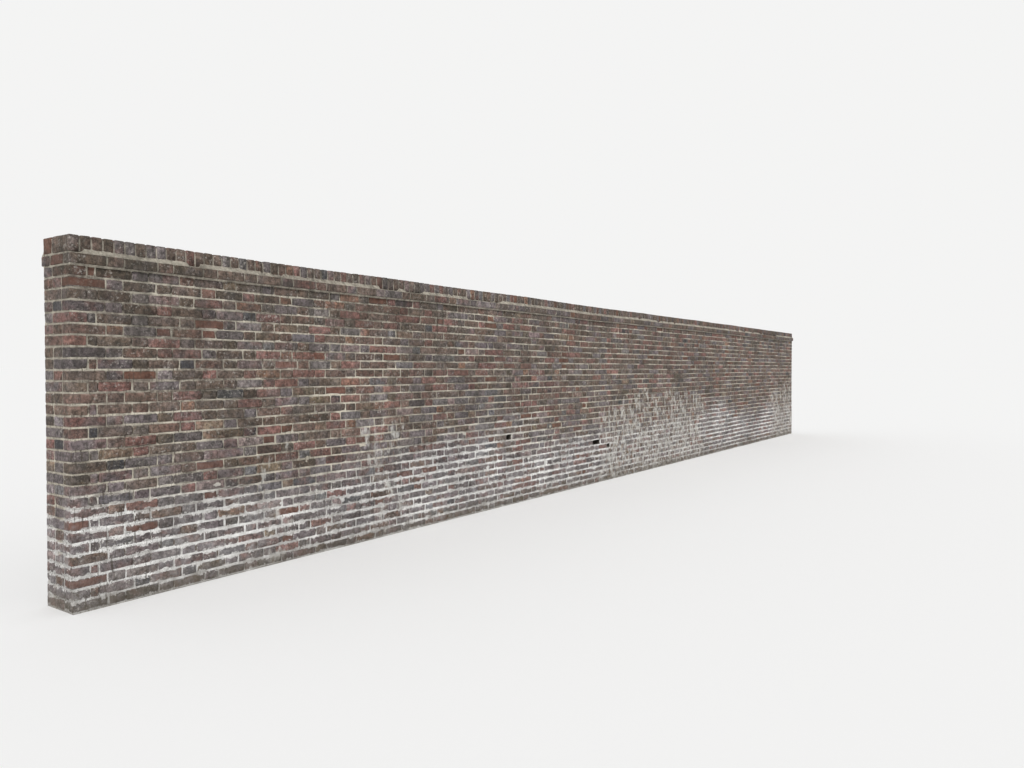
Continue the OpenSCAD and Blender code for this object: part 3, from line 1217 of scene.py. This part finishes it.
def build_oversail(bay, brickwork, mortar, draw):
    shell = Shell()
    for side in (GARDEN, BACK):
        low, high = oversail_blocks(bay, side)
        lay_blocks(shell, low, high, *odd_clay(len(low), draw), (6, 3, 4), draw)
    if bay in ENDS:
        inner = OVERSAIL_FACE - BRICK_WIDTH - JOINT
        x = (LEFT, LEFT + BRICK_WIDTH) if bay == 1 else (RIGHT - BRICK_WIDTH, RIGHT)
        low = np.array([[x[0], -inner, WALL_TOP + JOINT]])
        high = np.array([[x[1], inner, OVERSAIL_TOP]])
        lay_blocks(shell, low, high, *odd_clay(1, draw), (4, 5, 4), draw)
    shell.make(f"oversail_{bay}_bricks", brickwork, [f"oversailing_course_{bay}"])
    shell = Shell()
    lay_strip(shell, bay, SQUEEZED_BED, 0.002, 81, 0.5, heel=SQUEEZED_HEEL)
    lay_strip(shell, bay, OVERSAIL_BODY, 0.0015, 83, 0.6)
    if bay in ENDS:
        lay_end_sheet(shell, ENDS[bay], WALL_TOP + 0.0135, OVERSAIL_TOP, OVERSAIL_FACE - 0.008, 4)
    shell.make(f"oversail_{bay}_joints", mortar, [f"oversailing_course_{bay}"])


def build_fillets(bay, mortar):
    shell = Shell()
    lay_strip(
        shell, bay, FILLET, 0.0016, 85, 0.6, cells=2 * BED_CELLS, shape=worn_fillet, heel=FILLET_HEEL,
    )
    shell.make(f"fillets_{bay}", mortar, [f"mortar_fillets_{bay}"])


def build_coping(bay, brickwork, mortar, draw):
    shell = Shell()
    for long_rows, cells in ((True, (3, 6, 4)), (False, (3, 4, 4))):
        low, high = coping_blocks(bay, long_rows)
        lay_blocks(shell, low, high, *odd_clay(len(low), draw), cells, draw, wear=1.5)
    shell.make(f"coping_{bay}_bricks", brickwork, [f"coping_{bay}"])
    shell = Shell()
    lay_strip(shell, bay, COPING_BODY, 0.0026, 87, 0.75)
    if bay in ENDS:
        lay_end_sheet(shell, ENDS[bay], OVERSAIL_TOP, TOP - 0.012, FACE - 0.008, 5)
    shell.make(f"coping_{bay}_joints", mortar, [f"coping_{bay}"])


def build_wall():
    draw = np.random.default_rng(SEED)
    wall_brick = brick_material("old_brick", 0.75)
    top_brick = brick_material("weathered_brick", 1.0)
    mortar = mortar_material("lime_mortar")
    bricks = list_bricks(draw)
    for bay in range(1, BAYS + 1):
        build_bay(bay, bricks, wall_brick, mortar, draw)
        build_oversail(bay, top_brick, mortar, draw)
        build_fillets(bay, mortar)
        build_coping(bay, top_brick, mortar, draw)


build_wall()


# Floor, sky and lamp

FLOOR_WHITE = (0.92, 0.92, 0.915)
SKY_LIGHT = 0.58
LAMP_LIGHT = 2.1
LAMP_SPREAD = math.radians(12)
# The lamp rakes along the garden face from the near end, to bring out its relief
LAMP_FROM = Vector((-0.62, -0.5, 0.6))
# What the lit floor shows far off, so that the sky can match it and no horizon is seen
FLOOR_SEEN = [c * (SKY_LIGHT + LAMP_LIGHT / math.pi * LAMP_FROM.normalized().z) for c in FLOOR_WHITE]


def plain_material(name, colour):
    material = bpy.data.materials.new(name)
    material.use_nodes = True
    shader = material.node_tree.nodes["Principled BSDF"]
    shader.inputs["Base Color"].default_value = (*colour, 1)
    shader.inputs["Roughness"].default_value = 1.0
    shader.inputs["Specular IOR Level"].default_value = 0.0
    return material


def make_floor():
    bpy.ops.mesh.primitive_plane_add(size=FLOOR_SIZE)
    floor = bpy.context.object
    floor.name = "floor"
    floor.data.materials.append(plain_material("floor", FLOOR_WHITE))


def make_sky():
    """A plain sky: as pale as the floor where it is seen, and a softer light on the wall."""
    world = bpy.data.worlds.new("sky")
    bpy.context.scene.world = world
    world.use_nodes = True
    tree = world.node_tree
    light = tree.nodes["Background"]
    light.inputs["Color"].default_value = (1, 1, 1, 1)
    light.inputs["Strength"].default_value = SKY_LIGHT
    seen = tree.nodes.new("ShaderNodeBackground")
    seen.inputs["Color"].default_value = (*FLOOR_SEEN, 1)
    path = tree.nodes.new("ShaderNodeLightPath")
    pick = tree.nodes.new("ShaderNodeMixShader")
    shown = path.outputs["Is Camera Ray"]
    for ray in ("Is Glossy Ray", "Is Transmission Ray"):
        either = tree.nodes.new("ShaderNodeMath")
        either.operation = "MAXIMUM"
        tree.links.new(shown, either.inputs[0])
        tree.links.new(path.outputs[ray], either.inputs[1])
        shown = either.outputs[0]
    for n, value in enumerate((shown, light.outputs[0], seen.outputs[0])):
        tree.links.new(value, pick.inputs[n])
    tree.links.new(pick.outputs[0], tree.nodes["World Output"].inputs["Surface"])


def make_lamp():
    data = bpy.data.lights.new("key", "SUN")
    data.energy = LAMP_LIGHT
    data.angle = LAMP_SPREAD
    lamp = bpy.data.objects.new("key", data)
    bpy.context.collection.objects.link(lamp)
    lamp.rotation_euler = LAMP_FROM.to_track_quat("Z", "Y").to_euler()


make_floor()
make_sky()
make_lamp()
bpy.context.scene.view_settings.view_transform = "Standard"
